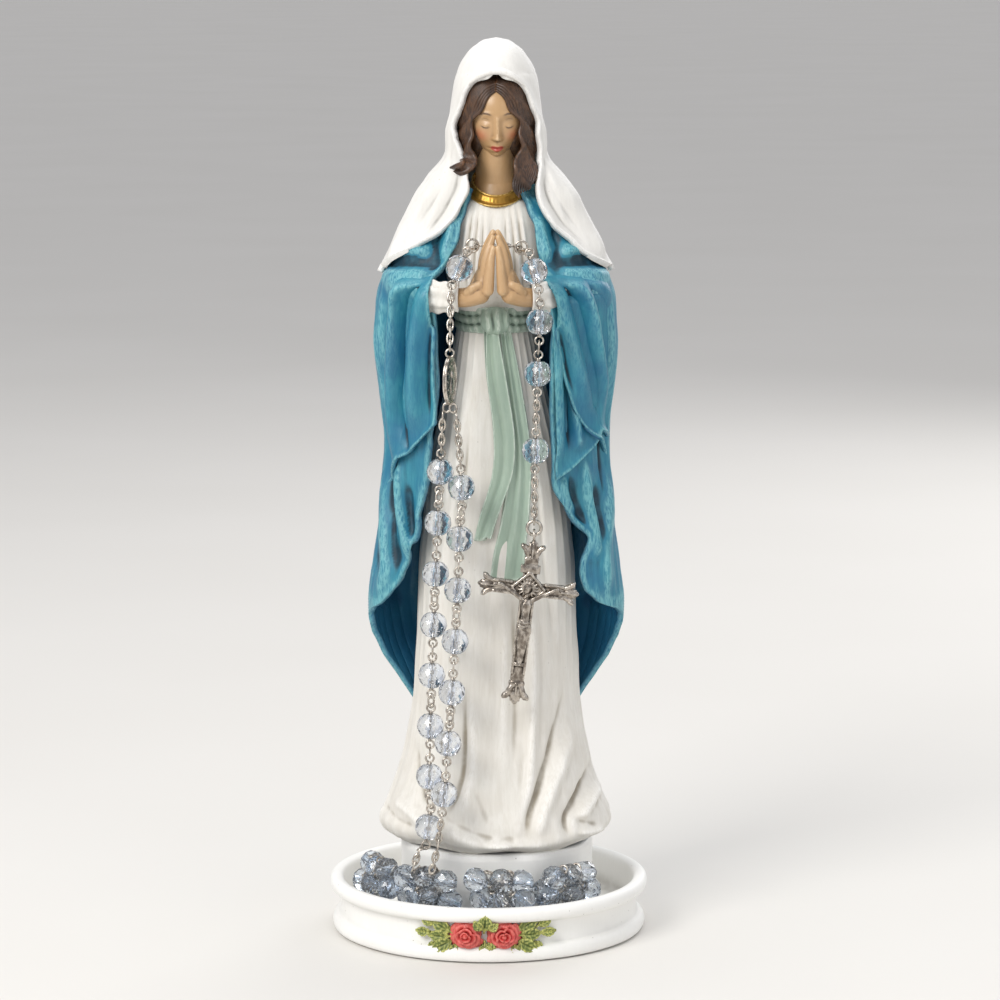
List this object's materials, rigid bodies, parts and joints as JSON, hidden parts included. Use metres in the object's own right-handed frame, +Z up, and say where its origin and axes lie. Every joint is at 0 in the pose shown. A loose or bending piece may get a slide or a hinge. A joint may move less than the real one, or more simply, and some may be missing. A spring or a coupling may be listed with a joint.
{
  "type": "madonna statue with rosary",
  "caption": "Praying Madonna figure in a white veil and blue mantle, standing in a round dish, with a crystal bead rosary draped over the folded hands.",
  "frame": {"origin": "middle of the dish's flat underside", "axes": "+Z up, the figure faces -Y, +X to the right of a viewer in front"},
  "size_m": [0.082, 0.0841, 0.2286],
  "materials": {
    "dish_white": "matte white painted resin with faint specks",
    "veil_white": "matte white painted resin, faint grey in the folds",
    "gown_cream": "off-white painted resin with a warm antique wash in the creases",
    "mantle_blue": "turquoise blue paint, dry-brushed on the ridges, dark wash in the folds",
    "sash_sage": "sage green satin paint",
    "skin": "painted skin tone, slight gloss",
    "hair": "dark brown paint with copper highlights",
    "antique_gold": "antique gold paint",
    "rose_red": "coral red paint with dark creases",
    "leaf_green": "olive green paint with lighter edges",
    "bead_crystal": "clear ice-blue faceted crystal",
    "antique_silver": "antique silver, dark in the recesses"
  },
  "bodies": {
    "statue": {"base_dish": "dish_white", "pedestal": "dish_white", "rose_left": "rose_red", "rose_right": "rose_red", "leaves_left": "leaf_green", "leaves_right": "leaf_green", "leaf_top": "leaf_green", "leaf_bottom": "leaf_green", "gown_skirt": "gown_cream", "gown_bodice": "gown_cream", "sash_belt": "sash_sage", "mantle": "mantle_blue", "head": "skin", "hair_left": "hair", "hair_right": "hair", "collar": "antique_gold", "veil": "veil_white", "hand_left": "skin", "hand_right": "skin", "cuff_left": "gown_cream", "cuff_right": "gown_cream", "sash_knot": "sash_sage", "sash_tail_front": "sash_sage", "sash_tail_rear": "sash_sage"},
    "rosary": {"strand_chain_left": "antique_silver", "strand_chain_right": "antique_silver", "centre_medal": "antique_silver", "hand_chain": "antique_silver", "pile_decade_1": "bead_crystal", "pile_decade_2": "bead_crystal", "pile_decade_3": "bead_crystal", "pile_decade_4": "bead_crystal"},
    "pendant": {"pendant_chain": "antique_silver"},
    "crucifix": {"crucifix_cross": "antique_silver", "corpus": "antique_silver"},
    "bead_body_left_1": {"strand_bead_left_1": "bead_crystal"},
    "bead_body_left_2": {"strand_bead_left_2": "bead_crystal"},
    "bead_body_left_3": {"strand_bead_left_3": "bead_crystal"},
    "bead_body_left_4": {"strand_bead_left_4": "bead_crystal"},
    "bead_body_left_5": {"strand_bead_left_5": "bead_crystal"},
    "bead_body_left_6": {"strand_bead_left_6": "bead_crystal"},
    "bead_body_left_7": {"strand_bead_left_7": "bead_crystal"},
    "bead_body_left_8": {"strand_bead_left_8": "bead_crystal"},
    "bead_body_right_1": {"strand_bead_right_1": "bead_crystal"},
    "bead_body_right_2": {"strand_bead_right_2": "bead_crystal"},
    "bead_body_right_3": {"strand_bead_right_3": "bead_crystal"},
    "bead_body_right_4": {"strand_bead_right_4": "bead_crystal"},
    "bead_body_right_5": {"strand_bead_right_5": "bead_crystal"},
    "bead_body_right_6": {"strand_bead_right_6": "bead_crystal"},
    "bead_body_right_7": {"strand_bead_right_7": "bead_crystal"},
    "bead_body_pendant_1": {"pendant_bead_1": "bead_crystal"},
    "bead_body_pendant_2": {"pendant_bead_2": "bead_crystal"},
    "bead_body_pendant_free_1": {"pendant_bead_free_1": "bead_crystal"},
    "bead_body_pendant_free_2": {"pendant_bead_free_2": "bead_crystal"},
    "bead_body_pendant_free_3": {"pendant_bead_free_3": "bead_crystal"}
  },
  "joints": [
    {"name": "rosary_lift", "type": "slide", "parent": "statue", "child": "rosary", "axis": [0, 0, 1], "range_m": [0, 0.235]},
    {"name": "pendant_swing", "type": "hinge", "parent": "rosary", "child": "pendant", "pos_m": [0.01279, -0.02713, 0.16656], "axis": [1, 0, 0], "range_deg": [-70, 0]},
    {"name": "crucifix_swing", "type": "hinge", "parent": "pendant", "child": "crucifix", "pos_m": [0.0115, -0.027, 0.1063], "axis": [1, 0, 0], "range_deg": [-75, 0]},
    {"name": "spin_left_1", "type": "hinge", "parent": "rosary", "child": "bead_body_left_1", "pos_m": [-0.0119, -0.0246, 0.1218], "axis": [-0.0476, 0.0455, -0.9978], "continuous": true},
    {"name": "spin_left_2", "type": "hinge", "parent": "rosary", "child": "bead_body_left_2", "pos_m": [-0.01252, -0.02514, 0.109], "axis": [-0.0467, -0.0423, -0.998], "continuous": true},
    {"name": "spin_left_3", "type": "hinge", "parent": "rosary", "child": "bead_body_left_3", "pos_m": [-0.0131, -0.02569, 0.0962], "axis": [-0.043, -0.0423, -0.9982], "continuous": true},
    {"name": "spin_left_4", "type": "hinge", "parent": "rosary", "child": "bead_body_left_4", "pos_m": [-0.01362, -0.02623, 0.0834], "axis": [-0.0376, -0.0423, -0.9984], "continuous": true},
    {"name": "spin_left_5", "type": "hinge", "parent": "rosary", "child": "bead_body_left_5", "pos_m": [-0.01406, -0.02677, 0.0706], "axis": [-0.0315, -0.0424, -0.9986], "continuous": true},
    {"name": "spin_left_6", "type": "hinge", "parent": "rosary", "child": "bead_body_left_6", "pos_m": [-0.01443, -0.02731, 0.0578], "axis": [-0.0261, -0.0424, -0.9988], "continuous": true},
    {"name": "spin_left_7", "type": "hinge", "parent": "rosary", "child": "bead_body_left_7", "pos_m": [-0.01473, -0.02786, 0.045], "axis": [-0.0224, -0.0424, -0.9989], "continuous": true},
    {"name": "spin_left_8", "type": "hinge", "parent": "rosary", "child": "bead_body_left_8", "pos_m": [-0.015, -0.0284, 0.0322], "axis": [-0.1326, -0.0828, -0.9877], "continuous": true},
    {"name": "spin_right_1", "type": "hinge", "parent": "rosary", "child": "bead_body_right_1", "pos_m": [-0.0066, -0.0284, 0.1184], "axis": [0.0247, -0.0118, -0.9996], "continuous": true},
    {"name": "spin_right_2", "type": "hinge", "parent": "rosary", "child": "bead_body_right_2", "pos_m": [-0.00703, -0.02917, 0.1056], "axis": [-0.0369, -0.0597, -0.9975], "continuous": true},
    {"name": "spin_right_3", "type": "hinge", "parent": "rosary", "child": "bead_body_right_3", "pos_m": [-0.00755, -0.02993, 0.0928], "axis": [-0.0454, -0.0597, -0.9972], "continuous": true},
    {"name": "spin_right_4", "type": "hinge", "parent": "rosary", "child": "bead_body_right_4", "pos_m": [-0.0082, -0.0307, 0.08], "axis": [-0.0571, -0.0597, -0.9966], "continuous": true},
    {"name": "spin_right_5", "type": "hinge", "parent": "rosary", "child": "bead_body_right_5", "pos_m": [-0.00901, -0.03147, 0.0672], "axis": [-0.0687, -0.0596, -0.9959], "continuous": true},
    {"name": "spin_right_6", "type": "hinge", "parent": "rosary", "child": "bead_body_right_6", "pos_m": [-0.00997, -0.03223, 0.0544], "axis": [-0.0772, -0.0596, -0.9952], "continuous": true},
    {"name": "spin_right_7", "type": "hinge", "parent": "rosary", "child": "bead_body_right_7", "pos_m": [-0.011, -0.033, 0.0416], "axis": [-0.0992, -0.0289, -0.9946], "continuous": true},
    {"name": "spin_pendant_1", "type": "hinge", "parent": "rosary", "child": "bead_body_pendant_1", "pos_m": [-0.007, -0.0244, 0.1726], "axis": [-0.4073, 0.0719, -0.9105], "continuous": true},
    {"name": "spin_pendant_2", "type": "hinge", "parent": "rosary", "child": "bead_body_pendant_2", "pos_m": [0.0114, -0.0265, 0.172], "axis": [0.2463, -0.1119, -0.9627], "continuous": true},
    {"name": "spin_pendant_free_1", "type": "hinge", "parent": "pendant", "child": "bead_body_pendant_free_1", "pos_m": [0.0128, -0.0276, 0.1596], "axis": [-0.0277, -0.0552, -0.9981], "continuous": true},
    {"name": "spin_pendant_free_2", "type": "hinge", "parent": "pendant", "child": "bead_body_pendant_free_2", "pos_m": [0.0123, -0.0282, 0.1468], "axis": [-0.0312, -0.0187, -0.9993], "continuous": true},
    {"name": "spin_pendant_free_3", "type": "hinge", "parent": "pendant", "child": "bead_body_pendant_free_3", "pos_m": [0.0118, -0.0282, 0.1276], "axis": [-0.0211, 0.0316, -0.9993], "continuous": true}
  ]
}
